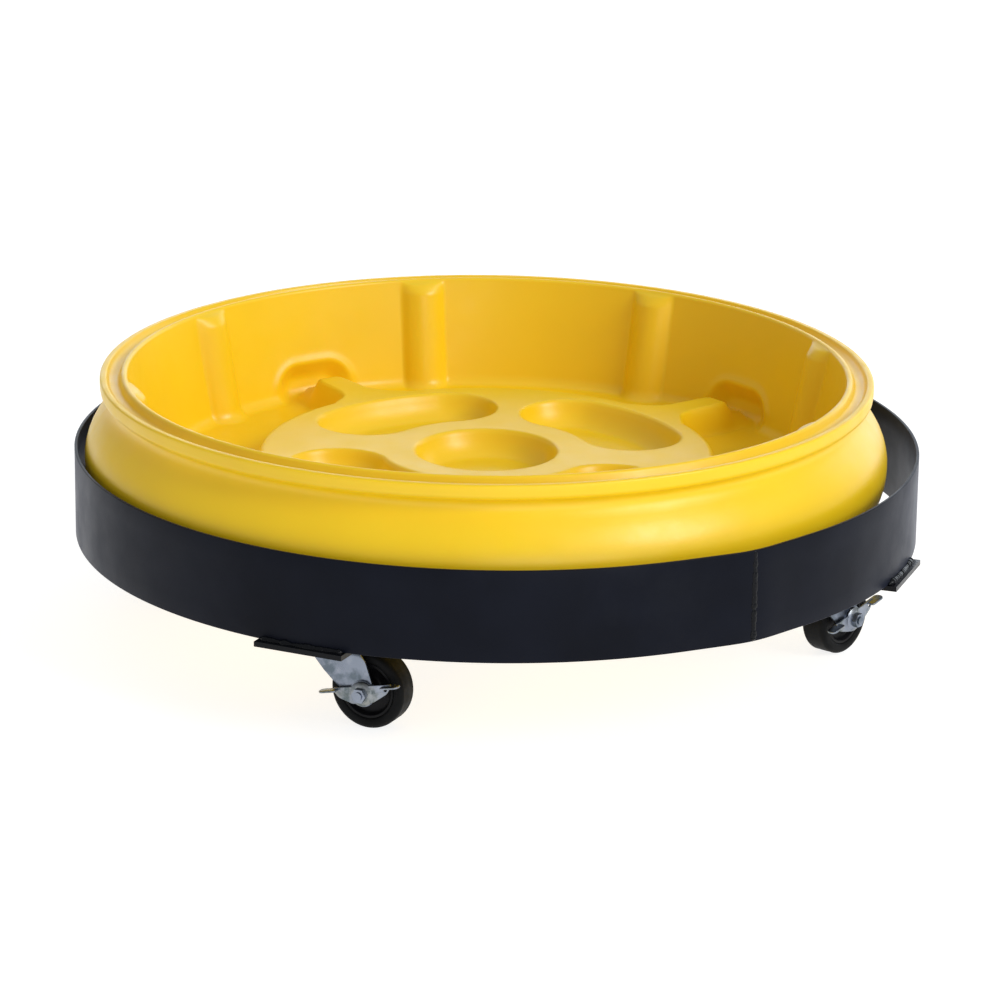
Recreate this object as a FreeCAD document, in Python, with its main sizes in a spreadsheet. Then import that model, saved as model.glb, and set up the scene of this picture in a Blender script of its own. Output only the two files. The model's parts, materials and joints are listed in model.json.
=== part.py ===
"""Drum dolly: a welded steel ring on four braked swivel casters, with a loose spill tray.

Millimetres, +Z up. The origin is on the floor, on the axis of the steel ring.
"""

import FreeCAD, Part
import math
import os
import Sketcher
from FreeCAD import Placement, Rotation, Vector

UP = Vector(0, 0, 1)
doc = FreeCAD.newDocument("DrumDolly")

# ---------------------------------------------------------------- driving dimensions

DIMENSIONS = {
    # steel frame
    "ring_radius": 425,
    "ring_thickness": 3.2,
    "ring_height": 90,
    "frame_level": 100,
    "bar_width": 92,
    "bar_thickness": 5,
    "bar_reach": 432,
    "long_bar_angle": 64.8,
    "half_bar_angle": -19.6,
    "seam_angle": -55.5,
    "bead_radius": 3,
    # casters
    "caster_circle": 339,
    "plate_length": 92,
    "plate_width": 60,
    "plate_thickness": 2.5,
    "screw_spacing_long": 73,
    "screw_spacing_short": 44.5,
    "screw_radius": 3.95,
    "screw_hole_radius": 4.2,
    "screw_head_radius": 8,
    "race_radius": 20,
    "race_outer_radius": 26,
    "ball_radius": 3.175,
    "ball_level": 85.5,
    "kingpin_radius": 5,
    "running_gap": 0.08,
    "crown_top": 81,
    "crown_thickness": 3,
    "leg_thickness": 2.5,
    "leg_gap": 36,
    "leg_end_radius": 12,
    "trail": 32,
    "wheel_radius": 38.1,
    "tyre_width": 28,
    "rim_radius": 27.5,
    "hub_width": 33,
    "sleeve_radius": 6.35,
    "axle_radius": 4,
    "hex_radius": 7.5,
    "hex_height": 6.5,
    "washer_radius": 7.4,
    "washer_thickness": 1.6,
    # brake
    "cam_radius": 13,
    "cam_thickness": 2,
    "lever_thickness": 2,
    "lever_reach": 43,
    "lever_tilt": 12,
    "pedal_width": 16,
    "pedal_level": 5,
    # tray
    "tray_shift": -10.8,
    "tray_gap": 0.3,
    "skin": 6,
    "foot_radius": 280,
    "bulge_radius": 404,
    "bulge_level": 78,
    "neck_radius": 380.5,
    "neck_level": 137,
    "rim_outer_radius": 388,
    "rim_level": 160.5,
    "rim_face": 15,
    "lip_radius": 362.5,
    "lip_rise": 2.5,
    "groove_depth": 7,
    "wall_foot_radius": 340,
    "floor_level": 49,
    "platform_radius": 230,
    "platform_level": 78.5,
    "pocket_depth": 25,
    "round_pocket_radius": 69,
    "bean_inner_radius": 106,
    "bean_outer_radius": 204,
    "bean_half_angle": 36,
    "tray_axis": 81,
    "arm_spread": 42.3,
    "arm_width": 36,
    "niche_width": 90,
    "niche_top": 92,
    "niche_corner": 25,
    "niche_back_radius": 370,
    "rib_spread_inner": 20.5,
    "rib_spread_outer": 63.4,
    "rib_spread_near": 69,
    "rib_width": 38,
    "rib_depth": 13,
}

sheet = doc.addObject("Spreadsheet::Sheet", "Dimensions")
for row, (alias, number) in enumerate(DIMENSIONS.items(), start=1):
    sheet.set(f"A{row}", alias)
    sheet.set(f"B{row}", str(number))
    sheet.setAlias(f"B{row}", alias)
doc.recompute()


class Size:
    """A length or an angle that carries its value and the spreadsheet expression behind it."""

    def __init__(self, value, text):
        self.value = float(value)
        self.text = text

    def _join(self, other, sign, value):
        return Size(value, f"({self.text} {sign} {as_size(other).text})")

    def __add__(self, other):
        return self._join(other, "+", self.value + float(other))

    def __sub__(self, other):
        return self._join(other, "-", self.value - float(other))

    def __mul__(self, other):
        return self._join(other, "*", self.value * float(other))

    def __truediv__(self, other):
        return self._join(other, "/", self.value / float(other))

    def __radd__(self, other):
        return as_size(other) + self

    def __rsub__(self, other):
        return as_size(other) - self

    def __rmul__(self, other):
        return as_size(other) * self

    def __neg__(self):
        return Size(-self.value, f"(0 - {self.text})")

    def __float__(self):
        return self.value


def as_size(number):
    return number if isinstance(number, Size) else Size(number, repr(float(number)))


def dim(alias):
    """The named cell of the sheet, as a Size."""
    return Size(sheet.get(alias), f"Dimensions.{alias}")


def bind(obj, prop, size):
    """Sets a property and ties it to the sheet."""
    size = as_size(size)
    if not prop.startswith("Constraints"):
        setattr(obj, prop, size.value)
    obj.setExpression(prop, size.text)


def spot(x=0, y=0, z=0, axis=UP, turn=0):
    """A placement: a turn in degrees about an axis, then a move."""
    return Placement(Vector(float(x), float(y), float(z)), Rotation(axis, float(turn)))


# ---------------------------------------------------------------- primitives and booleans


def solid(kind, name, place=None, **sizes):
    obj = doc.addObject(f"Part::{kind}", name)
    for prop, size in sizes.items():
        bind(obj, prop, size)
    if place:
        obj.Placement = place
    return obj


def cylinder(name, radius, height, place=None):
    return solid("Cylinder", name, place, Radius=radius, Height=height)


def slab(name, length, width, height, place=None):
    """A box centred in X and Y, standing on z = 0."""
    centre = Placement(Vector(-float(length) / 2, -float(width) / 2, 0), Rotation())
    return solid("Box", name, (place or Placement()) * centre, Length=length, Width=width, Height=height)


def hexagon(name, radius, height, place=None):
    obj = solid("Prism", name, place, Circumradius=radius, Height=height)
    obj.Polygon = 6
    return obj


def fuse(name, parts):
    obj = doc.addObject("Part::MultiFuse", name)
    obj.Shapes = parts
    return obj


def cut(name, base, tools):
    obj = doc.addObject("Part::Cut", name)
    obj.Base = base
    obj.Tool = tools[0] if len(tools) == 1 else fuse(name + "_tools", tools)
    return obj


def common(name, parts):
    obj = doc.addObject("Part::MultiCommon", name)
    obj.Shapes = parts
    return obj


def group(name, parts):
    obj = doc.addObject("Part::Compound", name)
    obj.Links = parts
    return obj


# ---------------------------------------------------------------- sketched bodies


def new_body(name):
    return doc.addObject("PartDesign::Body", name)


def new_sketch(body, name, role, offset=0):
    sketch = body.newObject("Sketcher::SketchObject", name)
    plane = [f for f in body.Origin.OriginFeatures if f.Role == role][0]
    sketch.AttachmentSupport = [(plane, "")]
    sketch.MapMode = "FlatFace"
    sketch.AttachmentOffset = Placement(Vector(0, 0, float(offset)), Rotation())
    return sketch


def outline(sketch, points):
    """A closed outline through points (u, v). A third item bends the side that leaves the point.

    The third item is a radius, positive where the arc turns left on its way and negative where it
    turns right. Every corner and radius is a named constraint that follows the sheet.
    """
    first = sketch.GeometryCount
    count = len(points)
    spots = [Vector(float(p[0]), float(p[1]), 0) for p in points]
    for i, point in enumerate(points):
        a, b = spots[i], spots[(i + 1) % count]
        if len(point) == 2:
            sketch.addGeometry(Part.LineSegment(a, b), False)
            continue
        radius = abs(float(point[2]))
        turn = 1 if float(point[2]) > 0 else -1
        half = (b - a) * 0.5
        side = Vector(-half.y, half.x, 0).normalize() * turn
        rise = radius - math.sqrt(radius**2 - half.Length**2)
        sketch.addGeometry(Part.Arc(a, a + half - side * rise, b), False)
    ends = []
    for i, point in enumerate(points):
        # an arc is stored anticlockwise, so one that turns right starts at its second end
        backwards = len(point) == 3 and float(point[2]) < 0
        ends.append((2, 1) if backwards else (1, 2))
    for i, point in enumerate(points):
        line, following = first + i, first + (i + 1) % count
        nxt = (i + 1) % count
        sketch.addConstraint(
            Sketcher.Constraint("Coincident", line, ends[i][1], following, ends[nxt][0])
        )
        for kind, value in (("DistanceX", point[0]), ("DistanceY", point[1])):
            index = sketch.addConstraint(
                Sketcher.Constraint(kind, -1, 1, line, ends[i][0], float(value))
            )
            tie(sketch, index, f"{kind}{line}", value)
        if len(point) == 3:
            bend = point[2] if float(point[2]) > 0 else -as_size(point[2])
            index = sketch.addConstraint(Sketcher.Constraint("Radius", line, float(bend)))
            tie(sketch, index, f"Radius{line}", bend)


def circle(sketch, u, v, radius):
    index = sketch.addGeometry(Part.Circle(Vector(float(u), float(v), 0), UP, float(radius)), False)
    centre = (-1, 1, index, 3)
    sizes = (("DistanceX", centre, u), ("DistanceY", centre, v), ("Radius", (index,), radius))
    for kind, where, value in sizes:
        constraint = sketch.addConstraint(Sketcher.Constraint(kind, *where, float(value)))
        tie(sketch, constraint, f"{kind}{index}", value)


def tie(sketch, index, name, value):
    sketch.renameConstraint(index, name)
    sketch.setExpression(f"Constraints.{name}", as_size(value).text)


def pad(body, sketch, length, centred=False, feature="Pad"):
    obj = body.newObject(f"PartDesign::{feature}", f"{sketch.Name}_{feature}")
    obj.Profile = sketch
    bind(obj, "Length", length)
    if centred:
        obj.SideType = "Symmetric"
    sketch.Visibility = False
    return obj


def turned(name, *outlines):
    """A body of revolution about Z. Each outline is a loop of (radius, height) points."""
    body = new_body(name)
    sketch = new_sketch(body, name + "_profile", "XZ_Plane")
    for points in outlines:
        outline(sketch, points)
    obj = body.newObject("PartDesign::Revolution", name + "_turn")
    obj.Profile = sketch
    obj.ReferenceAxis = (sketch, ["V_Axis"])
    obj.Angle = 360
    return body


parts = []


def part(node, obj, place=None):
    """Names a finished sub-part after its node, and puts it in its place."""
    obj.Label = node
    if place:
        obj.Placement = place * obj.Placement
    parts.append(obj)
    return obj


# ---------------------------------------------------------------- steel frame

ring_radius = dim("ring_radius")
ring_thickness = dim("ring_thickness")
ring_height = dim("ring_height")
frame_level = dim("frame_level")
bar_width = dim("bar_width")
bar_thickness = dim("bar_thickness")
bar_reach = dim("bar_reach")
bead_radius = dim("bead_radius")
bar_bottom = frame_level - bar_thickness

LONG_BAR = float(dim("long_bar_angle"))
HALF_BAR = float(dim("half_bar_angle"))
BAR_ANGLES = [LONG_BAR - 180, HALF_BAR, LONG_BAR, HALF_BAR + 180]

caster_circle = dim("caster_circle")
screw_long = dim("screw_spacing_long")
screw_short = dim("screw_spacing_short")
screw_radius = dim("screw_radius")
head_radius = dim("screw_head_radius")


def screw_spots(angle, z):
    """The four screw places of the caster under the bar at this angle."""
    for along in (-1, 1):
        for across in (-1, 1):
            local = spot(caster_circle + screw_long * along / 2, screw_short * across / 2, z)
            yield spot(turn=angle) * local


def ring_tube(name, clearance=0):
    """The ring's own volume, or that volume grown inwards and outwards by a clearance."""
    outer = cylinder(name + "_outer", ring_radius + clearance, ring_height)
    inner = cylinder(name + "_inner", ring_radius - ring_thickness - clearance, ring_height)
    tube = cut(name, outer, [inner])
    tube.Placement = spot(z=frame_level)
    return tube


def ring_band():
    body = new_body("ring_band")
    sketch = new_sketch(body, "ring_circles", "XY_Plane")
    circle(sketch, 0, 0, ring_radius)
    circle(sketch, 0, 0, ring_radius - ring_thickness)
    pad(body, sketch, ring_height)
    part("ring_band", body, spot(z=frame_level))


def ring_seam_weld():
    """The vertical butt weld: a bead that stands proud of the band, outside and inside."""
    middle = ring_radius - ring_thickness / 2
    bead = cylinder("seam_bead", bead_radius, ring_height, spot(middle, z=frame_level))
    seam = cut("seam", bead, [ring_tube("seam_ring")])
    part("ring_seam_weld", seam, spot(turn=dim("seam_angle")))


def screw_holes(name, angle):
    """Clearance holes and countersinks for the four screws of one caster."""
    tools = []
    for i, place in enumerate(screw_spots(angle, bar_bottom)):
        lift = Placement(Vector(0, 0, float(bar_thickness - (head_radius - screw_radius))), Rotation())
        tools.append(cylinder(f"{name}_hole_{i}", dim("screw_hole_radius"), bar_thickness, place))
        tools.append(
            solid(
                "Cone", f"{name}_sink_{i}", place * lift,
                Radius1=screw_radius, Radius2=head_radius, Height=head_radius - screw_radius,
            )
        )
    return tools


def long_bar():
    bar = slab("long_flat", bar_reach * 2, bar_width, bar_thickness, spot(z=bar_bottom, turn=LONG_BAR))
    tools = screw_holes("long_a", LONG_BAR) + screw_holes("long_b", LONG_BAR - 180)
    part("cross_bar_long", cut("long_bar", bar, tools))


def half_bar(node, angle):
    """A bar from the long bar's edge to the ring. Its inner end is mitred to the long bar."""
    middle = spot(turn=angle) * spot(bar_reach / 2, z=bar_bottom)
    bar = slab(node + "_flat", bar_reach, bar_width, bar_thickness, middle)
    across = slab(node + "_across", bar_reach, bar_width, bar_thickness, spot(z=bar_bottom, turn=LONG_BAR))
    part(node, cut(node, bar, [across] + screw_holes(node, angle)))


def bar_centre_welds():
    """Beads under the two butt joints, along both edges of the long bar."""
    beads = []
    for side in (-1, 1):
        place = spot(turn=LONG_BAR) * spot(-bar_width / 2, bar_width * side / 2, bar_bottom)
        bead = cylinder(
            f"centre_bead_{side}", bead_radius, bar_width, place * spot(axis=Vector(0, 1, 0), turn=90)
        )
        above = slab(f"centre_above_{side}", bar_reach, bar_reach, bar_thickness * 2, spot(z=bar_bottom))
        beads.append(cut(f"centre_weld_{side}", bead, [above]))
    part("bar_centre_welds", group("centre_welds", beads))


def ring_bar_welds():
    """Fillet beads where the ring stands on each bar, outside and inside the band."""
    half_angle = math.degrees(math.asin(float(bar_width / 2 - bead_radius) / float(ring_radius)))
    beads = []
    for i, angle in enumerate(BAR_ANGLES):
        for side, radius in (("out", ring_radius), ("in", ring_radius - ring_thickness)):
            bead = solid(
                "Torus", f"fillet_bead_{side}_{i}", spot(z=frame_level, turn=angle - half_angle),
                Radius1=radius, Radius2=bead_radius + 0.5,
            )
            bead.Angle3 = 2 * half_angle
            below = slab(f"fillet_below_{side}_{i}", 1000, 1000, 20, spot(z=frame_level - 20))
            beads.append(cut(f"fillet_{side}_{i}", bead, [below, ring_tube(f"fillet_ring_{side}_{i}")]))
    part("ring_bar_welds", group("ring_welds", beads))


# ---------------------------------------------------------------- caster fasteners

plate_thickness = dim("plate_thickness")
plate_bottom = bar_bottom - plate_thickness
washer_thickness = dim("washer_thickness")
nut_height = dim("hex_height")
nut_bottom = plate_bottom - washer_thickness - nut_height


def plate_screws():
    """Countersunk screws, flush with the top of the bars."""
    screws = []
    for n, angle in enumerate(BAR_ANGLES):
        for i, place in enumerate(screw_spots(angle, 0)):
            name = f"screw_{n}_{i}"
            rise = head_radius - screw_radius
            tip = nut_bottom - 1
            shank = cylinder(name + "_shank", screw_radius, frame_level - rise - tip, place * spot(z=tip))
            head = solid(
                "Cone", name + "_head", place * spot(z=frame_level - rise),
                Radius1=screw_radius, Radius2=head_radius, Height=rise,
            )
            screws.append(fuse(name, [shank, head]))
    part("plate_screws", group("screws", screws))


def plate_nuts_and_washers():
    nuts, washers = [], []
    for n, angle in enumerate(BAR_ANGLES):
        for i, place in enumerate(screw_spots(angle, 0)):
            washer_place = place * spot(z=plate_bottom - washer_thickness)
            nut_place = place * spot(z=nut_bottom)
            ring = cylinder(f"washer_ring_{n}_{i}", dim("washer_radius"), washer_thickness, washer_place)
            hole = cylinder(f"washer_hole_{n}_{i}", screw_radius + 0.15, washer_thickness, washer_place)
            washers.append(cut(f"washer_{n}_{i}", ring, [hole]))
            block = hexagon(f"nut_block_{n}_{i}", dim("hex_radius"), nut_height, nut_place)
            bore = cylinder(f"nut_bore_{n}_{i}", screw_radius + 0.05, nut_height, nut_place)
            nuts.append(cut(f"nut_{n}_{i}", block, [bore]))
    part("plate_lock_washers", group("washers", washers))
    part("plate_nuts", group("nuts", nuts))


# ---------------------------------------------------------------- one caster
# A caster's own frame: origin on the floor under the swivel axis, +X towards the trailing wheel.

wheel_radius = dim("wheel_radius")
trail = dim("trail")
gap = dim("running_gap")
leg_gap = dim("leg_gap")
leg_thickness = dim("leg_thickness")
axle_radius = dim("axle_radius")
crown_top = dim("crown_top")
crown_bottom = crown_top - dim("crown_thickness")
ball_level = dim("ball_level")
race_radius = dim("race_radius")
race_outer = dim("race_outer_radius")
kingpin_radius = dim("kingpin_radius")
leg_outer = leg_gap / 2 + leg_thickness
race_slot = 1


def ball_groove(name):
    return solid(
        "Torus", name, spot(z=ball_level), Radius1=race_radius, Radius2=dim("ball_radius") + gap
    )


def top_plate(node, place):
    """The mounting plate with the upper ball race pressed out of it."""
    level = spot(z=plate_bottom)
    flat = slab(node + "_flat", dim("plate_length"), dim("plate_width"), plate_thickness, level)
    race_bottom = ball_level + race_slot
    race = cylinder(node + "_race", race_outer, plate_bottom - race_bottom, spot(z=race_bottom))
    tools = [ball_groove(node + "_groove")]
    tools.append(cylinder(node + "_bore", kingpin_radius, 20, spot(z=race_bottom - 2)))
    for along in (-1, 1):
        for across in (-1, 1):
            hole = spot(screw_long * along / 2, screw_short * across / 2, plate_bottom)
            tools.append(
                cylinder(f"{node}_hole_{along}_{across}", dim("screw_hole_radius"), plate_thickness, hole)
            )
    part(node, cut(node, fuse(node + "_blank", [flat, race]), tools), place)


def kingpin(node, place):
    """The rivet that holds the fork up to the plate, with its washer head under the crown."""
    head_top = crown_bottom - 0.3
    points = [
        (0, head_top - 3), (8, head_top - 3), (8, head_top),
        (kingpin_radius, head_top), (kingpin_radius, bar_bottom), (0, bar_bottom),
    ]
    part(node, turned(node, points), place)


def race_balls(node, place):
    balls = []
    count = 16
    for i in range(count):
        angle = 360 / count * i
        ball = solid("Sphere", f"{node}_{i}", Radius=dim("ball_radius"))
        ball.Placement = spot(turn=angle) * spot(race_radius, z=ball_level)
        balls.append(ball)
    part(node, group(node, balls), place)


def fork(node, place):
    """Pressed fork: a crown with the lower ball race, and two tapering legs to the axle."""
    body = new_body(node + "_body")
    axle_z = wheel_radius
    end = dim("leg_end_radius")
    side = new_sketch(body, node + "_side", "XZ_Plane")
    outline(side, [
        (-24, crown_top),
        (-23, crown_top - 11, 72),
        (trail - 9, axle_z - end * 0.66, end),
        (trail + end * 0.97, axle_z + end * 0.24),
        (28, crown_top),
    ])
    pad(body, side, leg_outer * 2, centred=True)
    channel = new_sketch(body, node + "_channel", "YZ_Plane")
    outline(channel, [
        (-leg_gap / 2, 0), (leg_gap / 2, 0), (leg_gap / 2, crown_bottom), (-leg_gap / 2, crown_bottom),
    ])
    pad(body, channel, 300, centred=True, feature="Pocket")
    race = new_sketch(body, node + "_race", "XY_Plane", crown_bottom)
    circle(race, 0, 0, race_outer)
    pad(body, race, ball_level - race_slot - crown_bottom)
    tools = [
        ball_groove(node + "_groove"),
        cylinder(node + "_bore", kingpin_radius + gap, 20, spot(z=crown_bottom - 5)),
        cylinder(
            node + "_axle_hole", axle_radius + 0.1, leg_outer * 2 + 2,
            spot(trail, leg_outer + 1, axle_z, Vector(1, 0, 0), 90),
        ),
    ]
    part(node, cut(node + "_pressing", body, tools), place)


def axle_place(place, y=0, turn=90):
    """Places a piece made along its own Z onto the axle, starting at this y and running to -Y."""
    return place * spot(trail, y, wheel_radius, Vector(1, 0, 0), turn)


lever_start = -(leg_outer + dim("cam_thickness") + 0.2)
nut_start = lever_start - dim("lever_thickness") - 0.2
axle_nut_height = dim("hex_height")


def axle_bolt(node, place):
    length = leg_outer - nut_start + axle_nut_height + 1.5
    shank = cylinder(node + "_shank", axle_radius, length)
    head = hexagon(node + "_head", dim("hex_radius"), 5.3, spot(z=-5.3))
    part(node, fuse(node, [shank, head]), axle_place(place, leg_outer))


def axle_nut(node, place):
    block = hexagon(node + "_block", dim("hex_radius"), axle_nut_height)
    bore = cylinder(node + "_bore", axle_radius + 0.05, axle_nut_height)
    part(node, cut(node, block, [bore]), axle_place(place, nut_start))


def axle_sleeve(node, place):
    """The spacer that the wheel turns on. The legs are clamped against its ends."""
    outer = cylinder(node + "_outer", dim("sleeve_radius"), leg_gap)
    bore = cylinder(node + "_bore", axle_radius + 0.05, leg_gap)
    part(node, cut(node, outer, [bore]), axle_place(place, leg_gap / 2))


def wheel_core(node, place):
    half = dim("hub_width") / 2
    bore = dim("sleeve_radius") + gap
    rim = dim("rim_radius")
    rim_half = dim("tyre_width") / 2 - 2
    right = [
        (bore, half), (bore + 5, half), (bore + 6.5, rim_half * 0.55), (rim - 4, rim_half * 0.55),
        (rim - 2, rim_half), (rim, rim_half),
    ]
    left = [(r, -as_size(w)) for r, w in reversed(right)]
    part(node, turned(node, left + right), axle_place(place))


def tyre(node, place):
    """Solid rubber tyre with rounded shoulders."""
    half = dim("tyre_width") / 2
    rim = dim("rim_radius")
    shoulder = 5
    points = [
        (rim, -(half - 2)), (rim + 3, -half), (wheel_radius - shoulder, -half, shoulder),
        (wheel_radius, -(half - shoulder)), (wheel_radius, half - shoulder, shoulder),
        (wheel_radius - shoulder, half), (rim + 3, half), (rim, half - 2),
    ]
    part(node, turned(node, points), axle_place(place))


def brake_cam(node, place):
    """The face cam on the outside of the leg. The lever climbs it and squeezes the fork on the hub."""
    outer = cylinder(node + "_outer", dim("cam_radius"), dim("cam_thickness"))
    bore = cylinder(node + "_bore", axle_radius + 0.05, dim("cam_thickness"))
    part(node, cut(node, outer, [bore]), axle_place(place, -leg_outer))


def brake_lever(node, place):
    """A stamped rocker on the axle: a boat-shaped plate with a foot pedal at each end."""
    body = new_body(node)
    reach = dim("lever_reach")
    level = dim("pedal_level")
    thickness = dim("lever_thickness")
    plate = new_sketch(body, node + "_plate", "XZ_Plane")
    outline(plate, [
        (reach * 0.8, level + 3), (reach * 0.6, -2, -40), (10, -9.5), (-10, -9.5, -40),
        (-reach * 0.6, -2), (-reach * 0.8, level + 3),
    ])
    circle(plate, 0, 0, axle_radius + gap)
    pad(body, plate, thickness, centred=True)
    half = dim("pedal_width") / 2
    inboard = thickness / 2 - lever_start - leg_outer - gap
    rounding = (half + inboard) / 2
    for first, last, side, name in ((-half, inboard, 1, "_rear"), (inboard, -half, -1, "_front")):
        pedal = new_sketch(body, node + name, "XY_Plane", level)
        inner, outer = reach * (0.56 * side), (reach - rounding) * side
        outline(pedal, [(inner, first), (outer, first, rounding * 1.02), (outer, last), (inner, last)])
        pad(body, pedal, thickness)
    middle = spot(trail, lever_start - thickness / 2, wheel_radius)
    part(node, body, place * middle * spot(axis=Vector(0, 1, 0), turn=-dim("lever_tilt")))


TRAIL_ANGLES = [-25, 50, 110, -150]


def caster(number, bar_angle, trail_angle):
    fixed = spot(turn=bar_angle) * spot(caster_circle)
    swivelled = Placement(fixed.Base, Rotation(UP, trail_angle))
    top_plate(f"caster_{number}_top_plate", fixed)
    axle = (axle_bolt, axle_nut, axle_sleeve, wheel_core, tyre, brake_cam, brake_lever)
    for piece in (kingpin, race_balls, fork, *axle):
        piece(f"caster_{number}_{piece.__name__}", swivelled)


# ---------------------------------------------------------------- spill tray
# The tray's own frame: origin at the centre of its foot.

skin = dim("skin")
floor_level = dim("floor_level")
platform_level = dim("platform_level")
platform_radius = dim("platform_radius")
wall_foot = dim("wall_foot_radius")
lip_radius = dim("lip_radius")
rim_level = dim("rim_level")
niche_back = dim("niche_back_radius")


def mirrored(aliases, ends=(0, 180)):
    """Angles that lie the named spreads to both sides of the tray's axis, at one end or both."""
    axis = float(dim("tray_axis"))
    spreads = [float(dim(alias)) for alias in aliases]
    return [axis + end + side * spread for end in ends for spread in spreads for side in (-1, 1)]


arm_turns = mirrored(["arm_spread"])


def tray_shell():
    """The double-walled moulding without its platform details: outer surface and inner cavity."""
    foot = dim("foot_radius")
    bulge = dim("bulge_radius")
    bulge_level = dim("bulge_level")
    neck, neck_level = dim("neck_radius"), dim("neck_level")
    rim = dim("rim_outer_radius")
    under_rim = rim_level - dim("rim_face")
    groove_level = rim_level - dim("groove_depth")
    lip_level = rim_level + dim("lip_rise")
    outer = [
        (0, 0), (foot, 0, 128), (bulge, bulge_level, 140), (neck, neck_level), (neck, under_rim - 3),
        (rim, under_rim), (rim, rim_level - 1), (rim - 1, rim_level), (rim - 7, rim_level),
        (rim - 10, groove_level), (lip_radius + 6, groove_level), (lip_radius + 3, lip_level),
        (lip_radius - 3, lip_level), (wall_foot, floor_level),
        (platform_radius, floor_level), (platform_radius, platform_level), (0, platform_level),
    ]
    cavity_top = groove_level - skin
    ceiling = platform_level - dim("pocket_depth") - skin
    inner = [
        (0, skin), (foot, skin, 124), (bulge - skin, bulge_level, 150), (neck - skin, neck_level),
        (neck - skin, cavity_top), (lip_radius + 4, cavity_top), (wall_foot + skin, floor_level - skin),
        (platform_radius - skin, floor_level - skin), (platform_radius - skin, ceiling), (0, ceiling),
    ]
    return cut("tray_shell", turned("tray_outer", outer), [turned("tray_cavity", inner)])


def tray_arms():
    """Four arms from the platform, each into the niche in the wall at its end."""
    start = floor_level - 1
    inner_end = platform_radius - 20
    length = niche_back + 1 - inner_end
    arms = []
    for i, turn in enumerate(arm_turns):
        middle = spot(turn=turn) * spot(inner_end + length / 2, z=start)
        arms.append(slab(f"arm_{i}", length, dim("arm_width"), platform_level - start, middle))
    return arms


def arches(name, clearance, start, end, bottom):
    """Round-cornered arches at the arms' angles, running outwards from one radius to another."""
    corner = dim("niche_corner") + clearance
    half = dim("niche_width") / 2 + clearance
    shoulder = dim("niche_top") + clearance - corner
    length = end - start
    made = []
    for i, angle in enumerate(arm_turns):
        turn = spot(turn=angle)
        middle = turn * spot(start + length / 2, z=bottom)
        pieces = [
            slab(f"{name}_legs_{i}", length, half * 2, shoulder - bottom, middle),
            slab(f"{name}_middle_{i}", length, (half - corner) * 2, shoulder + corner - bottom, middle),
        ]
        for side in (-1, 1):
            axis = turn * spot(start, (half - corner) * side, shoulder, Vector(0, 1, 0), 90)
            pieces.append(cylinder(f"{name}_corner_{i}_{side}", corner, length, axis))
        made.append(fuse(f"{name}_{i}", pieces))
    return made


def tray_ribs():
    """Eight half-round ribs up the inner wall. They lean out with it."""
    radius = dim("rib_width") / 2
    lean = math.degrees(math.atan(float(lip_radius - wall_foot) / float(rim_level - floor_level)))
    far = mirrored(["rib_spread_inner", "rib_spread_outer"], [0])
    near = mirrored(["rib_spread_inner", "rib_spread_near"], [180])
    ribs = []
    for i, angle in enumerate(far + near):
        foot = spot(wall_foot + radius - dim("rib_depth"), z=floor_level - 1)
        leaning = spot(turn=angle) * foot * spot(axis=Vector(0, 1, 0), turn=lean)
        ribs.append(cylinder(f"rib_{i}", radius, rim_level - floor_level - skin / 2, leaning))
    limit = cylinder("rib_limit", lip_radius + skin / 2, rim_level)
    return common("ribs", [fuse("rib_posts", ribs), limit])


def tray_pockets():
    """The round pocket at the centre of the platform and the four bean-shaped ones around it."""
    depth = dim("pocket_depth")
    above = depth + 5
    bottom = platform_level - depth
    pockets = [cylinder("round_pocket", dim("round_pocket_radius"), above, spot(z=bottom))]
    inner, outer = dim("bean_inner_radius"), dim("bean_outer_radius")
    end = (outer - inner) / 2
    middle = inner + end
    spread = float(dim("bean_half_angle")) - math.degrees(math.asin(float(end) / float(middle)))
    for i, turn in enumerate(arm_turns):
        sector = solid("Cylinder", f"bean_sector_{i}", Radius=outer, Height=above)
        sector.Angle = 2 * spread
        core = cylinder(f"bean_core_{i}", inner, above)
        bean = cut(f"bean_{i}", sector, [core])
        bean.Placement = spot(z=bottom, turn=turn - spread)
        pockets.append(bean)
        for side in (-1, 1):
            place = spot(turn=turn + side * spread) * spot(middle, z=bottom)
            pockets.append(cylinder(f"bean_end_{i}_{side}", end, above, place))
    return pockets


def tray():
    liners = arches("niche_liner", skin, wall_foot, niche_back + skin, floor_level - skin)
    walls = fuse("tray_walls", [tray_shell(), tray_ribs()] + liners)
    inside = platform_radius + skin
    hollowed = cut("tray_niches", walls, arches("niche", 0, inside, niche_back, floor_level))
    moulding = cut("tray", fuse("tray_blank", [hollowed] + tray_arms()), tray_pockets())
    part("tray", moulding, spot(dim("tray_shift"), 0, frame_level + dim("tray_gap")))


# ---------------------------------------------------------------- assembly

ring_band()
ring_seam_weld()
long_bar()
half_bar("cross_bar_half_a", HALF_BAR)
half_bar("cross_bar_half_b", HALF_BAR + 180)
bar_centre_welds()
ring_bar_welds()
plate_screws()
plate_nuts_and_washers()
for number, (bar_angle, trail_angle) in enumerate(zip(BAR_ANGLES, TRAIL_ANGLES), start=1):
    caster(number, bar_angle, trail_angle)
tray()
doc.recompute()

for obj in doc.Objects:
    if "Invalid" in obj.State or "Error" in obj.State:
        raise RuntimeError(f"{obj.Label} failed: {obj.State}")
for obj in parts:
    if obj.Shape.isNull() or not obj.Shape.isValid() or not obj.Shape.Solids:
        raise RuntimeError(f"{obj.Label} has no valid solid")

os.makedirs("parts", exist_ok=True)
for obj in parts:
    obj.Shape.exportStep(f"parts/{obj.Label}.step")
    print(f"{obj.Label}: {len(obj.Shape.Solids)} solids, {obj.Shape.Volume / 1000:.2f} cm3")
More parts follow.
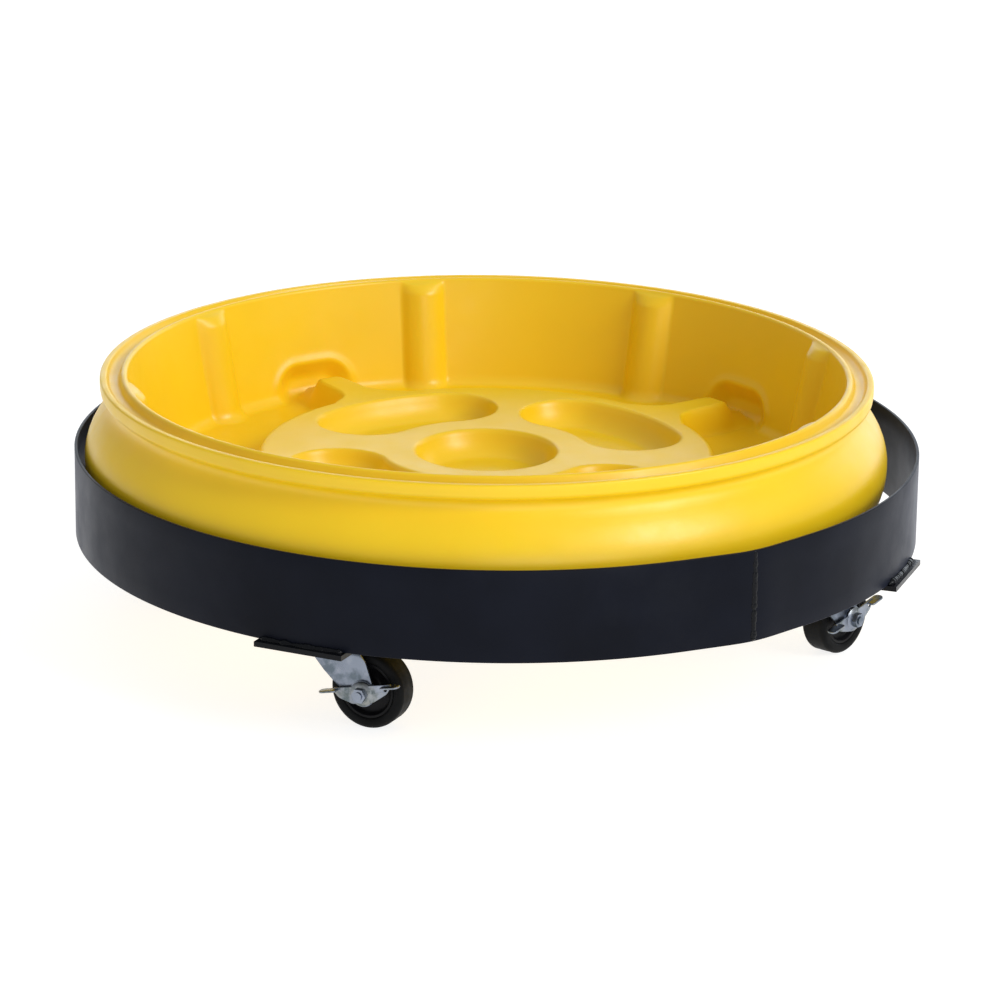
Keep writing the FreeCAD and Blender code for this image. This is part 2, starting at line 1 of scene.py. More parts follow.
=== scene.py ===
"""Looks of the drum dolly: camera, light, materials and the detailed meshes around the CAD frame."""

import math

import bmesh
import bpy
import numpy as np
from mathutils import Matrix, Vector
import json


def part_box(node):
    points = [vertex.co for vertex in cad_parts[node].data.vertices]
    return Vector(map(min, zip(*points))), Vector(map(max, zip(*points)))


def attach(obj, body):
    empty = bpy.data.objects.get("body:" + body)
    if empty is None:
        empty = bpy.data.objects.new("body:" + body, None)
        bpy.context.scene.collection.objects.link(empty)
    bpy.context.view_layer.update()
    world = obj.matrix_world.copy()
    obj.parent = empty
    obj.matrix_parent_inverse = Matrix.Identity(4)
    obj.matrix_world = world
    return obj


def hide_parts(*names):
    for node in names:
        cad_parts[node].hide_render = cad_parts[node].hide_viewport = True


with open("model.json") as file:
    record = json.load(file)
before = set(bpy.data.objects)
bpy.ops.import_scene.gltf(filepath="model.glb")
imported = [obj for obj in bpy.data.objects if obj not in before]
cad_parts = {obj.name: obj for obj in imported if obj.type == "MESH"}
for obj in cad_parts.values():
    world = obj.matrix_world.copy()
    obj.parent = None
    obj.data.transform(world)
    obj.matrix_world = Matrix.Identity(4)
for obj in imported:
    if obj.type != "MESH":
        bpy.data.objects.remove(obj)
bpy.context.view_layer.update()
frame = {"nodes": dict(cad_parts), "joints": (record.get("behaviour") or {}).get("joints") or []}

MM = 0.001
TAU = 2 * math.pi
scene = bpy.context.scene


# ---------------------------------------------------------------- places, all read from the frame

def joint(name):
    return next(j for j in frame["joints"] if j["name"] == name)


RING_LOW, RING_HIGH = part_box("ring_band")
RING_RADIUS = (RING_HIGH - RING_LOW).x / 2
RING_BOTTOM, RING_TOP = RING_LOW.z, RING_HIGH.z
TRAY_LOW, TRAY_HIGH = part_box("tray")
TRAY_PLACE = ((TRAY_LOW.x + TRAY_HIGH.x) / 2, (TRAY_LOW.y + TRAY_HIGH.y) / 2, TRAY_LOW.z)
SEAM_LOW, SEAM_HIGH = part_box("ring_seam_weld")
SEAM_ANGLE = math.atan2(SEAM_LOW.y + SEAM_HIGH.y, SEAM_LOW.x + SEAM_HIGH.x)
CASTERS = (1, 2, 3, 4)


def caster_matrix(number):
    """The caster's own frame: origin under the swivel axis, X towards the trailing wheel, Z up."""
    pivot = Vector(joint(f"caster_{number}_swivel")["pos_m"])
    axle = Vector(joint(f"caster_{number}_roll")["pos_m"])
    along = Vector((axle.x - pivot.x, axle.y - pivot.y, 0)).normalized()
    across = Vector((0, 0, 1)).cross(along)
    turn = Matrix((along, across, Vector((0, 0, 1)))).transposed().to_4x4()
    return Matrix.Translation((pivot.x, pivot.y, 0)) @ turn


AXLE = Vector(joint("caster_1_roll")["pos_m"])
PIVOT = Vector(joint("caster_1_swivel")["pos_m"])
TRAIL = math.hypot(AXLE.x - PIVOT.x, AXLE.y - PIVOT.y)
WHEEL_RADIUS = AXLE.z
BAR_ANGLES = [math.atan2(*joint(f"caster_{n}_swivel")["pos_m"][1::-1]) for n in CASTERS]


def add_object(name, data):
    """Puts a mesh, a light, a camera or a curve into the scene."""
    obj = bpy.data.objects.new(name, data)
    scene.collection.objects.link(obj)
    return obj


# ---------------------------------------------------------------- camera

def make_camera():
    """A long lens, a little above the rim and far away."""
    target = Vector((0, 0, RING_BOTTOM))
    distance = 10.66 * RING_RADIUS
    elevation = math.radians(17.73)
    down = math.radians(17.426)
    roll = math.radians(-0.709)
    yaw = math.radians(0.05)
    data = bpy.data.cameras.new("camera")
    data.sensor_width = 36
    data.lens = 160.54
    data.clip_start, data.clip_end = 0.1, 100
    camera = add_object("camera", data)
    ahead = Vector((math.sin(yaw) * math.cos(down), math.cos(yaw) * math.cos(down), -math.sin(down)))
    right = Vector((math.cos(yaw), -math.sin(yaw), 0))
    below = ahead.cross(right)
    image_x = right * math.cos(roll) + below * math.sin(roll)
    image_up = image_x.cross(ahead)
    place = target + Vector((0, -math.cos(elevation), math.sin(elevation))) * distance
    turn = Matrix((image_x, image_up, -ahead)).transposed().to_4x4()
    camera.matrix_world = Matrix.Translation(place) @ turn
    scene.camera = camera


# ---------------------------------------------------------------- studio

def point_light(light, direction):
    light.rotation_mode = "QUATERNION"
    light.rotation_quaternion = direction.to_track_quat("-Z", "Y")


def area_light(name, place, aim, width, height, power, tint=(1, 1, 1)):
    data = bpy.data.lights.new(name, "AREA")
    data.shape = "RECTANGLE"
    data.size, data.size_y = width, height
    data.energy = power
    data.color = tint
    light = add_object(name, data)
    light.location = place
    point_light(light, Vector(aim) - Vector(place))
    return light


def make_world():
    world = bpy.data.worlds.new("studio")
    scene.world = world
    world.use_nodes = True
    background = world.node_tree.nodes["Background"]
    background.inputs["Color"].default_value = (0.96, 0.98, 1, 1)
    background.inputs["Strength"].default_value = 0.44


def make_lights():
    """A broad sun from the front right, with soft boxes above, low in front and behind."""
    data = bpy.data.lights.new("key", "SUN")
    data.energy = 1.6
    data.angle = math.radians(26)
    azimuth, rise = math.radians(-33), math.radians(33)
    from_sun = -Vector((math.cos(azimuth), math.sin(azimuth), math.tan(rise)))
    point_light(add_object("key", data), from_sun)
    area_light("above", (0.3, 0.2, 2.6), (0, 0, 0), 2.6, 2.6, 6)
    area_light("low", (1.0, -3.0, 0.55), (0, 0, 0.1), 2.0, 0.9, 13)
    behind = area_light("behind", (0.9, 3.4, 1.1), (0.2, 0, 0.1), 6.4, 2.1, 66, (0.82, 0.9, 1))
    behind.visible_camera = False


def make_floor():
    """A wide sheet of lit white paper."""
    half = 40
    corners = [(-half, -half, 0), (half, -half, 0), (half, half, 0), (-half, half, 0)]
    floor = new_mesh("floor", corners, [(0, 1, 2, 3)])
    paper = Finish(
        "floor_paper", (0.31, 0.31, 0.31), 0.9,
        Emission_Color=(1, 1, 1, 1), Emission_Strength=0.84,
    )
    paper.vary_colour(2.0, 0.01)
    floor.data.materials.append(paper.material)


def make_studio():
    make_world()
    make_lights()
    make_floor()
    scene.view_settings.view_transform = "Standard"
    scene.view_settings.look = "None"
    scene.view_settings.exposure = 0
    scene.view_settings.gamma = 1


# ---------------------------------------------------------------- materials

class Finish:
    """A Principled material with procedural colour, roughness and bump in object coordinates."""

    def __init__(self, name, colour, roughness, metallic=0.0, **sockets):
        self.material = bpy.data.materials.new(name)
        self.material.use_nodes = True
        self.tree = self.material.node_tree
        self.shader = self.tree.nodes["Principled BSDF"]
        self.shader.inputs["Base Color"].default_value = (*colour, 1)
        self.shader.inputs["Roughness"].default_value = roughness
        self.shader.inputs["Metallic"].default_value = metallic
        for socket, value in sockets.items():
            self.shader.inputs[socket.replace("_", " ")].default_value = value
        self.place = self.tree.nodes.new("ShaderNodeTexCoord").outputs["Object"]

    def node(self, kind, **inputs):
        made = self.tree.nodes.new(f"ShaderNode{kind}")
        for name, value in inputs.items():
            self.feed(made, name.replace("_", " "), value)
        return made

    def feed(self, node, socket, value):
        if isinstance(value, bpy.types.NodeSocket):
            self.tree.links.new(value, node.inputs[socket])
        else:
            node.inputs[socket].default_value = value

    def stretched(self, stretch):
        """Object coordinates, scaled by a different amount on each axis."""
        return self.node("Mapping", Vector=self.place, Scale=stretch).outputs["Vector"]

    def noise(self, scale, detail=2.0, roughness=0.5, stretch=None):
        """Fine noise with a value between 0 and 1."""
        where = self.stretched(stretch) if stretch else self.place
        made = self.node("TexNoise", Vector=where, Scale=scale, Detail=detail, Roughness=roughness)
        return made.outputs["Fac"]

    def span(self, value, low, high, to_low=0.0, to_high=1.0):
        """Maps the stretch from low to high onto the stretch from to_low to to_high."""
        made = self.node("MapRange", Value=value)
        for index, number in enumerate((low, high, to_low, to_high), start=1):
            made.inputs[index].default_value = number
        return made.outputs["Result"]

    def mix(self, amount, first, second):
        made = self.tree.nodes.new("ShaderNodeMix")
        made.data_type = "RGBA"
        colour = {"A": made.inputs[6], "B": made.inputs[7]}
        for key, value in (("A", first), ("B", second)):
            if isinstance(value, bpy.types.NodeSocket):
                self.tree.links.new(value, colour[key])
            else:
                colour[key].default_value = (*value, 1)
        self.feed(made, "Factor", amount)
        return made.outputs[2]

    def colour_now(self):
        links = self.shader.inputs["Base Color"].links
        return links[0].from_socket if links else tuple(self.shader.inputs["Base Color"].default_value)[:3]

    def tint(self, amount, colour):
        """Paints another colour where amount is 1."""
        mixed = self.mix(amount, self.colour_now(), colour)
        self.tree.links.new(mixed, self.shader.inputs["Base Color"])

    def vary_colour(self, scale, strength):
        """Lightens and darkens the colour in soft clouds."""
        base = Vector(self.shader.inputs["Base Color"].default_value[:3])
        cloud = self.span(self.noise(scale, 3.0), 0.3, 0.7)
        darker = tuple(base * (1 - strength))
        lighter = tuple(min(1, c * (1 + strength)) for c in base)
        self.tree.links.new(self.mix(cloud, darker, lighter), self.shader.inputs["Base Color"])

    def vary_roughness(self, scale, low, high):
        rough = self.span(self.noise(scale, 4.0, 0.6), 0.3, 0.7, low, high)
        self.tree.links.new(rough, self.shader.inputs["Roughness"])

    def bump(self, height, strength, distance):
        made = self.node("Bump", Height=height, Strength=strength, Distance=distance)
        links = self.shader.inputs["Normal"].links
        if links:
            self.tree.links.new(links[0].from_socket, made.inputs["Normal"])
        self.tree.links.new(made.outputs["Normal"], self.shader.inputs["Normal"])


def yellow_plastic():
    """Rotomoulded polyethylene: slightly wavy, satin and lightly scuffed."""
    paint = Finish(
        "yellow_polyethylene", (0.92, 0.6, 0.009), 0.36, Specular_IOR_Level=0.45,
        Subsurface_Weight=0.12, Subsurface_Scale=0.004, Subsurface_Radius=(1.0, 0.5, 0.1),
    )
    paint.vary_colour(7.0, 0.035)
    scuff = paint.span(paint.noise(60.0, 8.0, 0.75, (1, 1, 2.4)), 0.66, 0.8, 0.0, 0.22)
    paint.tint(scuff, (0.98, 0.74, 0.2))
    paint.vary_roughness(35.0, 0.30, 0.43)
    paint.bump(paint.noise(9.0, 2.0), 0.5, 0.0022)
    paint.bump(paint.noise(420.0, 3.0), 0.12, 0.0005)
    return paint.material


def black_powder_coat():
    """Satin powder coat with orange peel, dust and fine scratches."""
    paint = Finish(
        "black_powder_coat", (0.0042, 0.0054, 0.0105), 0.32, Specular_IOR_Level=0.08,
        Sheen_Weight=0.1, Sheen_Roughness=0.35, Sheen_Tint=(0.55, 0.65, 1, 1),
    )
    paint.vary_colour(11.0, 0.25)
    dust = paint.span(paint.noise(5.0, 6.0, 0.7), 0.55, 0.85, 0.0, 0.16)
    paint.tint(dust, (0.03, 0.032, 0.038))
    scratch = paint.span(paint.noise(45.0, 9.0, 0.8, (1, 1, 9)), 0.69, 0.74, 0.0, 0.3)
    paint.tint(scratch, (0.07, 0.072, 0.085))
    paint.vary_roughness(18.0, 0.3, 0.44)
    paint.bump(paint.noise(650.0, 2.0), 0.2, 0.0003)
    paint.bump(paint.noise(14.0, 2.0), 0.25, 0.0012)
    return paint.material


def glossy_black():
    """The same coat where it ran thick and glossy: on the bars and the weld beads."""
    paint = Finish("painted_weld", (0.004, 0.0045, 0.006), 0.2, Specular_IOR_Level=0.14)
    paint.vary_colour(30.0, 0.3)
    paint.vary_roughness(40.0, 0.08, 0.26)
    paint.bump(paint.noise(240.0, 3.0), 0.45, 0.0008)
    return paint.material


def zinc():
    """Zinc plating with a bluish tint: cloudy, with pale and dark patches."""
    metal = Finish("zinc_plate", (0.24, 0.27, 0.33), 0.3, metallic=1.0)
    metal.vary_colour(45.0, 0.22)
    pale = metal.span(metal.noise(120.0, 5.0), 0.55, 0.7, 0.0, 0.35)
    metal.tint(pale, (0.38, 0.41, 0.47))
    shade = metal.span(metal.noise(42.0, 4.0, 0.6), 0.5, 0.62, 0.0, 0.7)
    metal.tint(shade, (0.08, 0.11, 0.13))
    metal.vary_roughness(90.0, 0.22, 0.42)
    metal.bump(metal.noise(500.0, 4.0), 0.12, 0.0003)
    return metal.material


def yellow_zinc():
    """The stamped levers: zinc with a yellowish film and dark stains in patches."""
    metal = Finish("yellow_zinc", (0.26, 0.29, 0.35), 0.33, metallic=1.0)
    metal.vary_colour(50.0, 0.2)
    film = metal.span(metal.noise(38.0, 4.0), 0.42, 0.66, 0.0, 0.5)
    metal.tint(film, (0.33, 0.32, 0.22))
    shade = metal.span(metal.noise(75.0, 4.0, 0.6), 0.5, 0.62, 0.0, 0.7)
    metal.tint(shade, (0.07, 0.1, 0.1))
    metal.vary_roughness(110.0, 0.26, 0.46)
    metal.bump(metal.noise(420.0, 4.0), 0.15, 0.0003)
    return metal.material


def bright_steel():
    metal = Finish("bearing_steel", (0.62, 0.62, 0.64), 0.18, metallic=1.0)
    metal.vary_colour(200.0, 0.08)
    metal.vary_roughness(300.0, 0.12, 0.26)
    return metal.material


def tyre_rubber():
    rubber = Finish("tyre_rubber", (0.0035, 0.0038, 0.0042), 0.5, Specular_IOR_Level=0.1)
    rubber.vary_colour(60.0, 0.3)
    dust = rubber.span(rubber.noise(25.0, 6.0, 0.7), 0.55, 0.8, 0.0, 0.2)
    rubber.tint(dust, (0.018, 0.018, 0.018))
    rubber.vary_roughness(70.0, 0.45, 0.68)
    rubber.bump(rubber.noise(700.0, 3.0), 0.25, 0.0003)
    return rubber.material


def core_plastic():
    plastic = Finish("wheel_core_black", (0.004, 0.004, 0.005), 0.38, Specular_IOR_Level=0.14)
    plastic.vary_colour(90.0, 0.25)
    plastic.vary_roughness(80.0, 0.34, 0.52)
    plastic.bump(plastic.noise(500.0, 2.0), 0.15, 0.0003)
    return plastic.material


# ---------------------------------------------------------------- mesh tools

def new_mesh(name, points, faces, smooth=False):
    mesh = bpy.data.meshes.new(name)
    mesh.from_pydata([tuple(p) for p in points], [], faces)
    mesh.update()
    if smooth:
        mesh.shade_smooth()
    return add_object(name, mesh)


def grid_faces(rows, columns, close_rows=False, close_columns=True):
    """Quads over a grid of points stored row by row."""
    faces = []
    for i in range(rows if close_rows else rows - 1):
        for j in range(columns if close_columns else columns - 1):
            a, b = i * columns + j, i * columns + (j + 1) % columns
            c, d = ((i + 1) % rows) * columns + (j + 1) % columns, ((i + 1) % rows) * columns + j
            faces.append((a, b, c, d))
    return faces


def lathe(name, profile, columns):
    """Turns a closed profile of (radius, height) about Z."""
    profile = np.array(profile, float)
    angles = np.arange(columns) * TAU / columns
    points = np.stack([
        np.outer(profile[:, 0], np.cos(angles)), np.outer(profile[:, 0], np.sin(angles)),
        np.repeat(profile[:, 1:2], columns, 1),
    ], 2).reshape(-1, 3)
    return new_mesh(name, points, grid_faces(len(profile), columns, True), smooth=True)


def tidy(obj, distance=1e-6):
    """Merges points that meet and turns every face outwards."""
    work = bmesh.new()
    work.from_mesh(obj.data)
    bmesh.ops.remove_doubles(work, verts=work.verts, dist=distance)
    bmesh.ops.recalc_face_normals(work, faces=work.faces)
    work.to_mesh(obj.data)
    work.free()


def rounded(corners, steps):
    """A closed outline through (x, y, radius) corners, each rounded with an arc of that radius."""
    points = []
    count = len(corners)
    for i, (x, y, radius) in enumerate(corners):
        here = np.array((x, y), float)
        before = np.array(corners[i - 1][:2], float) - here
        after = np.array(corners[(i + 1) % count][:2], float) - here
        u, v = before / np.linalg.norm(before), after / np.linalg.norm(after)
        half = math.acos(max(-1, min(1, float(u @ v)))) / 2
        reach = radius / math.tan(half)
        middle = (u + v) / np.linalg.norm(u + v)
        centre = here + middle * radius / math.sin(half)
        start, end = here + u * reach - centre, here + v * reach - centre
        a0, a1 = math.atan2(start[1], start[0]), math.atan2(end[1], end[0])
        sweep = (a1 - a0 + math.pi) % TAU - math.pi
        for k in range(steps + 1):
            a = a0 + sweep * k / steps
            points.append(centre + radius * np.array([math.cos(a), math.sin(a)]))
    return points


def ring_of(radius, count, centre=(0, 0)):
    """Points round a circle."""
    turns = [TAU * k / count for k in range(count)]
    return [(centre[0] + radius * math.cos(a), centre[1] + radius * math.sin(a)) for a in turns]


def plate(name, outlines, thickness, edge):
    """A flat plate centred on z = 0 from its outline and its holes, with rounded edges."""
    curve = bpy.data.curves.new(name, "CURVE")
    curve.dimensions = "2D"
    curve.fill_mode = "BOTH"
    curve.extrude = thickness / 2 - edge
    curve.bevel_depth = edge
    curve.bevel_resolution = 2
    curve.offset = -edge
    for outline in outlines:
        spline = curve.splines.new("POLY")
        spline.points.add(len(outline) - 1)
        for point, (x, y) in zip(spline.points, outline):
            point.co = (x, y, 0, 1)
        spline.use_cyclic_u = True
    obj = evaluated(add_object(name + "_curve", curve), name)
    tidy(obj, 1e-5)
    shade(obj)
    return obj


def evaluated(source, name):
    """Swaps an object for the plain mesh that it makes, with its modifiers applied."""
    bpy.context.view_layer.update()
    graph = bpy.context.evaluated_depsgraph_get()
    mesh = bpy.data.meshes.new_from_object(source.evaluated_get(graph))
    bpy.data.objects.remove(source)
    mesh.name = name
    return add_object(name, mesh)


def shade(obj, angle=35):
    """Smooth shading, broken at edges sharper than the angle in degrees."""
    obj.data.shade_smooth()
    obj.data.set_sharp_from_angle(angle=math.radians(angle))


def move(obj, matrix):
    """Puts a matrix into the mesh, so that the object itself stays at the origin."""
    obj.data.transform(matrix)
    obj.data.update()
    return obj


def join(name, objects):
    """One object from several."""
    work = bmesh.new()
    for obj in objects:
        work.from_mesh(obj.data)
    mesh = bpy.data.meshes.new(name)
    work.to_mesh(mesh)
    work.free()
    for obj in objects:
        bpy.data.objects.remove(obj)
    whole = add_object(name, mesh)
    shade(whole)
    return whole


def give_material(obj, material):
    obj.data.materials.clear()
    obj.data.materials.append(MATERIALS[material])


def finish_piece(obj, material, body, node):
    """Gives a piece its material, its body and the CAD node it stands for."""
    give_material(obj, material)
    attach(obj, body)
    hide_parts(node)


def add_bevel(obj, width, angle):
    """Rounds the edges sharper than the angle in degrees, with a modifier."""
    bevel = obj.modifiers.new("soft_edges", "BEVEL")
    bevel.width = width
    bevel.segments = 2
    bevel.limit_method = "ANGLE"
    bevel.angle_limit = math.radians(angle)
    return bevel


def soften(obj, width):
    """Rounds the sharp edges of a CAD node."""
    add_bevel(obj, width, 40).harden_normals = True
    for polygon in obj.data.polygons:
        polygon.use_smooth = True


def smooth_step(value):
    """Rises from 0 to 1 with a soft start and end, as the value does."""
    value = np.clip(value, 0, 1)
    return value * value * (3 - 2 * value)


def arc_points(centre, radius, start, end, steps):
    """Points on an arc, with angles in degrees."""
    return [
        (centre[0] + radius * math.cos(math.radians(a)), centre[1] + radius * math.sin(math.radians(a)))
        for a in np.linspace(start, end, steps)
    ]


# ---------------------------------------------------------------- spill tray

class Tray:
    """The moulding as one skin: platform, floor, wall, lip, rim, bulge and foot, in that order."""

    FLAT, WALL, OUTSIDE = 0, 1, 2
    platform = 78.5 * MM
    floor = 49 * MM
    wall_foot = 340 * MM
    fillet = 14 * MM
    lip_radius = 362.5 * MM
    lip_top = 163 * MM
    lip_round = 3.4 * MM
    wall_top = (lip_radius - 2.2 * MM, lip_top - lip_round)
    rim_top = 160.5 * MM
    pocket_depth = 26 * MM
    axis = math.radians(81)
    arm_spread = math.radians(42.3)
    far_ribs = (math.radians(20.5), math.radians(63.4))
    near_ribs = (math.radians(20.5), math.radians(69))
    columns = 840

    def mirrored(self, spreads, ends=(0, math.pi)):
        """Angles on both sides of the tray's axis, at one end of it or both."""
        return [self.axis + end + side * spread for end in ends for spread in spreads for side in (-1, 1)]

    def platform_rows(self):
        """From the middle out over the platform and the floor to the foot of the wall."""
        rows = []
        for start, end, count in ((0.5, 40, 5), (40, 80, 20), (80, 98, 6), (98, 216, 56), (216, 224, 3)):
            rows += [(r * MM, self.platform) for r in np.linspace(start, end, count, endpoint=False)]
        rows += arc_points((224 * MM, self.platform - 6 * MM), 6 * MM, 90, 8, 7)
        rows += [(231.2 * MM, self.platform - 11 * MM), (232.4 * MM, self.platform - 16 * MM)]
        rows += arc_points((241.5 * MM, self.floor + 8 * MM), 8 * MM, 188, 270, 7)
        for r in np.linspace(244 * MM, self.wall_foot - self.fillet, 24, endpoint=False):
            rows.append((r, self.floor))
        return rows

    def wall_rows(self):
        """The fillet and the leaning wall, up to the lip."""
        lean = math.degrees(math.atan((self.lip_radius - self.wall_foot) / (self.lip_top - self.floor)))
        centre = (self.wall_foot - self.fillet, self.floor + self.fillet)
        rows = arc_points(centre, self.fillet, -90, -lean, 12)
        low_r, low_z = rows[-1]
        top_r, top_z = self.wall_top
        for k in np.linspace(0, 1, 50)[1:]:
            rows.append((low_r + (top_r - low_r) * k, low_z + (top_z - low_z) * k))
        return rows

    def rim_rows(self):
        """Over the lip, through the groove, round the rim and in below it."""
        lip_centre = (self.wall_top[0] + self.lip_round, self.wall_top[1])
        groove = self.rim_top - 6.5 * MM
        under = self.rim_top - 15 * MM
        rows = arc_points(lip_centre, self.lip_round, 180, 20, 9)[1:]
        rows += [(r * MM, z) for r, z in (
            (368.6, groove + 2.2 * MM), (369.6, groove + 0.6 * MM), (371.6, groove), (376, groove),
            (378.4, groove + 0.9 * MM), (379.8, groove + 3.0 * MM), (380.8, self.rim_top - 1.6 * MM),
        )]
        rows += arc_points((382.8 * MM, self.rim_top - 2.0 * MM), 2.0 * MM, 160, 80, 5)
        rows += arc_points((385.6 * MM, self.rim_top - 2.4 * MM), 2.4 * MM, 80, 0, 6)
        rows += [(r * MM, z) for r, z in (
            (388.0, self.rim_top - 6 * MM), (387.9, self.rim_top - 10 * MM), (387.4, under + 1.6 * MM),
            (385.4, under - 0.2 * MM), (382.4, under - 1.0 * MM), (379.8, under - 2.8 * MM),
        )]
        return rows

    def bulge_rows(self):
        """From the neck below the rim, over the bulge and in under the tray."""
        return [(r * MM, z * MM) for r, z in (
            (378.4, 139.8), (378.0, 137.5), (378.2, 134.8), (379.4, 131.4), (381.6, 127.6), (384.7, 123.5),
            (388.4, 119.0), (391.8, 114.0), (395.2, 108.6), (398.4, 102.6), (400.9, 96.2), (402.7, 89.6),
            (403.8, 82.6), (404.0, 75.4), (403.6, 68.0), (402.4, 60.4), (400.3, 53.0), (397.2, 45.6),
            (393.0, 38.6), (387.6, 31.8), (380.8, 25.6), (372.4, 20.0), (362.4, 15.0), (350.6, 10.8),
            (337.0, 7.2), (322.0, 4.2), (306.0, 2.0), (292.0, 0.6), (280.0, 0.0),
            (200, 0.0), (100, 0.0), (0.5, 0.0),
        )]

    def profile(self):
        """The section where nothing crosses it, as (radius, height, zone)."""
        outside = self.rim_rows() + self.bulge_rows()
        zones = ((self.platform_rows(), self.FLAT), (self.wall_rows(), self.WALL), (outside, self.OUTSIDE))
        return np.array([(r, z, zone) for rows, zone in zones for r, z in rows])

    def straightened(self, angles, radius):
        """Column angles, bent so that the columns beside an arm run parallel to it."""
        around = np.repeat(angles[None, :], len(radius), 0)
        reach = np.clip(radius, 200 * MM, 400 * MM)[:, None]
        inner = smooth_step((radius - 205 * MM) / (20 * MM))[:, None]
        for turn in self.mirrored([self.arm_spread]):
            off = (around - turn + math.pi) % TAU - math.pi
            weight = 1 - smooth_step((np.abs(off) - math.radians(9)) / math.radians(8))
            even = np.arcsin(np.clip(290 * MM * np.sin(np.clip(off, -0.5, 0.5)) / reach, -1, 1))
            around = around + (even - off) * weight * inner
        return around

    def nearest(self, around, radius, turns):
        """Sideways distance from the nearest of the given radial lines."""
        across = np.full(around.shape, 1.0)
        for turn in turns:
            off = (around - turn + math.pi) % TAU - math.pi
            across = np.where(np.abs(off) < 1.2, np.minimum(across, np.abs(np.sin(off)) * radius), across)
        return across

    def pocket(self, inside):
        """Depth at a distance inside a pocket's outline: a rounded edge, a steep side and a bowl."""
        bowl = 1 - (1 - np.clip((inside + 2 * MM) / (25 * MM), 0, 1)) ** 2.4
        return self.pocket_depth * bowl * smooth_step((inside + 4.5 * MM) / (8 * MM))

    def bean(self, x, y, turn):
        """Distance inside the outline of the bean-shaped pocket at this angle."""
        middle, half = 157.5 * MM, 50 * MM
        spread = math.radians(37) - math.asin(half / middle)
        angle = (np.arctan2(y, x) - turn + math.pi) % TAU - math.pi
        along = np.clip(angle, -spread, spread) + turn
        return half - np.hypot(x - middle * np.cos(along), y - middle * np.sin(along))

    def pockets(self, radius, around):
        """Depth of the round pocket in the middle and of the beans about it."""
        x, y = radius * np.cos(around), radius * np.sin(around)
        depth = self.pocket(71 * MM - radius)
        for turn in self.mirrored([self.arm_spread]):
            depth = np.maximum(depth, self.pocket(self.bean(x, y, turn)))
        return depth

    def arm_share(self, across, radius):
        """1 on top of an arm and 0 beside it. The arm flares at its root and rounds off at its nose."""
        flare = 24 * MM * np.exp(-np.clip(radius - 231 * MM, 0, 1) / (11 * MM))
        flank = 11 * MM + 8 * MM * smooth_step((radius - 296 * MM) / (30 * MM))
        return smooth_step((24.5 * MM + flare - across) / flank)

    def niche_depth(self, across, radius, level):
        """How far the wall stands back in the arches round the arms' ends, less their raised border."""
        half, top, corner = 43 * MM, 85 * MM, 25 * MM
        side = np.maximum(across - (half - corner), 0)
        rise = np.maximum(level - (top - corner), 0)
        inside = corner - np.hypot(side, rise)
        niche = 12 * MM * smooth_step((inside + 3 * MM) / (22 * MM))
        fillet = smooth_step((radius - 326 * MM) / (12 * MM))
        open_foot = smooth_step((level - 54 * MM) / (18 * MM))
        border = 2 * MM * np.exp(-((inside + 3.5 * MM) / (4.5 * MM)) ** 2) * fillet * open_foot
        return niche - border

    def rib_height(self, around, radius, level):
        """How far the rounded ribs stand out of the wall, from under the lip down."""
        turns = self.mirrored(self.far_ribs, [0]) + self.mirrored(self.near_ribs, [math.pi])
        across = self.nearest(around, radius, turns)
        swell = np.clip(1 - (across / (23 * MM)) ** 2, 0, 1) ** 0.85
        fade = np.sqrt(np.clip((self.lip_top - 1 * MM - level) / (12 * MM), 0, 1))
        return 13 * MM * swell * fade

    def points(self):
        """The section turned about the tray's middle, with its pockets, arms, niches and ribs."""
        rows = self.profile()
        angles = np.arange(self.columns) * TAU / self.columns
        around = self.straightened(angles, rows[:, 0])
        radius, height, zone = (np.repeat(rows[:, k:k + 1], self.columns, 1) for k in range(3))
        level = rows[:, 1:2]
        flat, wall = zone == self.FLAT, zone == self.WALL
        height = height - np.where(flat & (radius < 223 * MM), self.pockets(radius, around), 0)

        # the arms are level with the platform until they dip into the niches
        from_arm = self.nearest(around, radius, self.mirrored([self.arm_spread]))
        crest = self.platform - 28 * MM * smooth_step((radius - 307 * MM) / (33 * MM))
        lifted = np.maximum(height, height + (crest - height) * self.arm_share(from_arm, radius))
        height = np.where((flat | wall) & (radius > 215 * MM), lifted, height)

        # the ribs run out over the floor
        niche = np.where(wall, self.niche_depth(from_arm, radius, level), 0)
        near_wall = smooth_step((radius - 272 * MM) / (46 * MM))
        rib_share = np.where(wall, 1.0, np.where(flat, near_wall, 0.0))
        radius = radius + niche - self.rib_height(around, radius, level) * rib_share
        grid = np.stack([radius * np.cos(around), radius * np.sin(around), height], 2)
        return grid.reshape(-1, 3), len(rows)

    def build(self):
        points, rows = self.points()
        obj = new_mesh("spill_tray", points, grid_faces(rows, self.columns))
        move(obj, Matrix.Translation(TRAY_PLACE))
        tidy(obj, 0.2 * MM)
        obj.data.shade_smooth()
        finish_piece(obj, "yellow", "tray", "tray")


# ---------------------------------------------------------------- ring and bars

def ring_radius_at(angle):
    """The band's outer radius: round, but for the stiff ends that were left straight at the seam."""
    off = (angle - SEAM_ANGLE + math.pi) % TAU - math.pi
    spring = 4.6 * MM * np.exp(-(off / math.radians(5.2)) ** 2)
    return RING_RADIUS + spring


